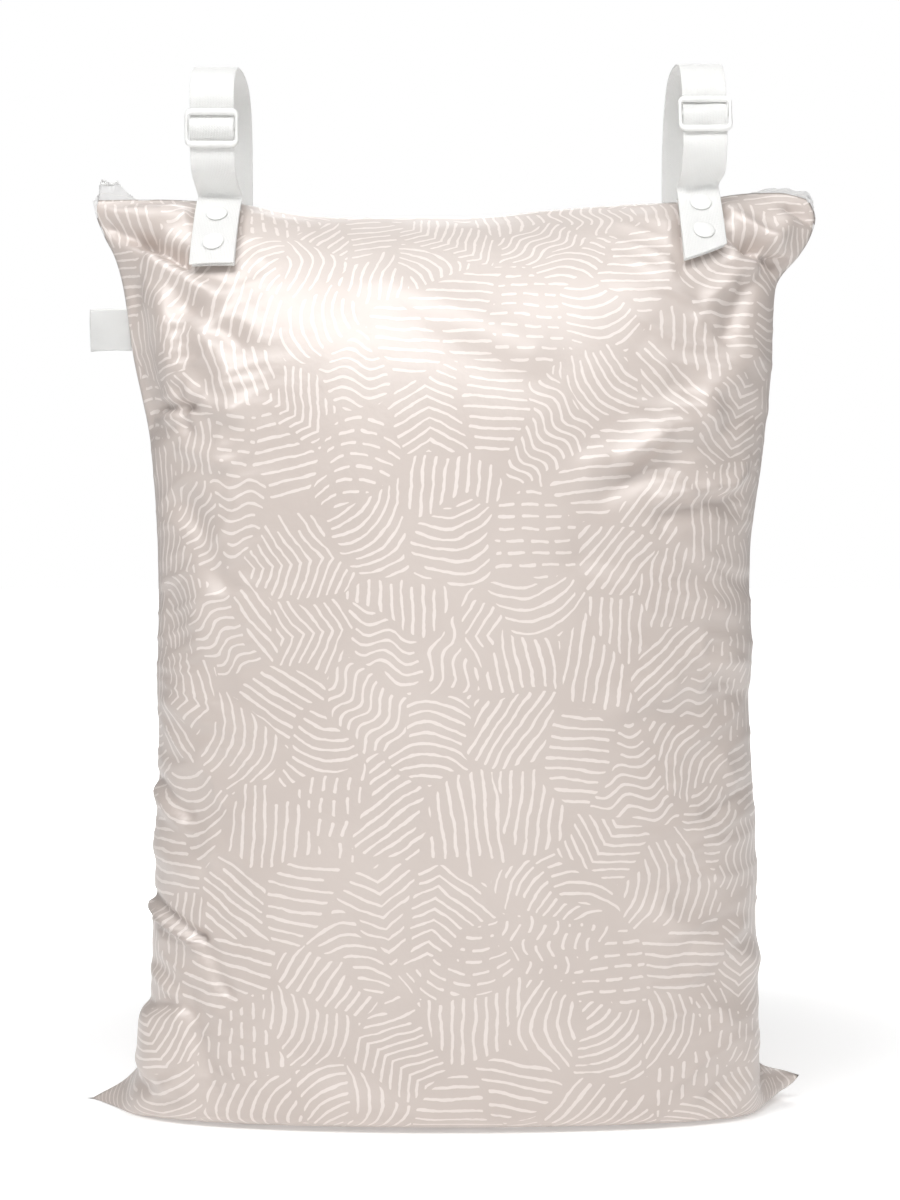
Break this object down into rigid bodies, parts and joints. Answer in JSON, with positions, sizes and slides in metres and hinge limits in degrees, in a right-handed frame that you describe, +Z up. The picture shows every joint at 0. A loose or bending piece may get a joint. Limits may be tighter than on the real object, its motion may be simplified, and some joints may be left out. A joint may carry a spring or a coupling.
{
  "type": "cloth diaper wet bag",
  "caption": "Stuffed upright waterproof cloth bag with a zip along its top and adjustable webbing strap loops that snap down on the front.",
  "frame": {"origin": "on the floor, under the middle of the whole bag's box", "axes": "+Z up from the floor to the zip and the strap loops, -Y out of the front, which has the snaps, +X to the right as seen from the front"},
  "size_m": [0.4264, 0.1882, 0.6092],
  "materials": {
    "cloth": "satin coated polyester, pale beige with a white hand-drawn line pattern",
    "webbing": "white woven webbing",
    "plastic": "white moulded acetal",
    "zip_tape": "white woven zip tape",
    "zip_coil": "white nylon coil",
    "label": "plain white satin tape"
  },
  "bodies": {
    "root": {"bag_front": "cloth", "bag_back": "cloth", "zip_tape_front": "zip_tape", "zip_tape_back": "zip_tape", "zip_coil": "zip_coil", "zip_slider": "plastic", "zip_pull": "plastic", "side_label": "label", "strap_left": "webbing", "snap_tab_left": "webbing", "strap_slider_left": "plastic", "snap_stud_left_lower": "plastic", "snap_socket_left_lower": "plastic", "snap_cap_left_lower": "plastic", "snap_stud_left_upper": "plastic", "snap_socket_left_upper": "plastic", "snap_cap_left_upper": "plastic", "strap_right": "webbing", "snap_tab_right": "webbing", "strap_slider_right": "plastic", "snap_stud_right_lower": "plastic", "snap_socket_right_lower": "plastic", "snap_cap_right_lower": "plastic", "snap_stud_right_upper": "plastic", "snap_socket_right_upper": "plastic", "snap_cap_right_upper": "plastic"}
  },
  "joints": []
}
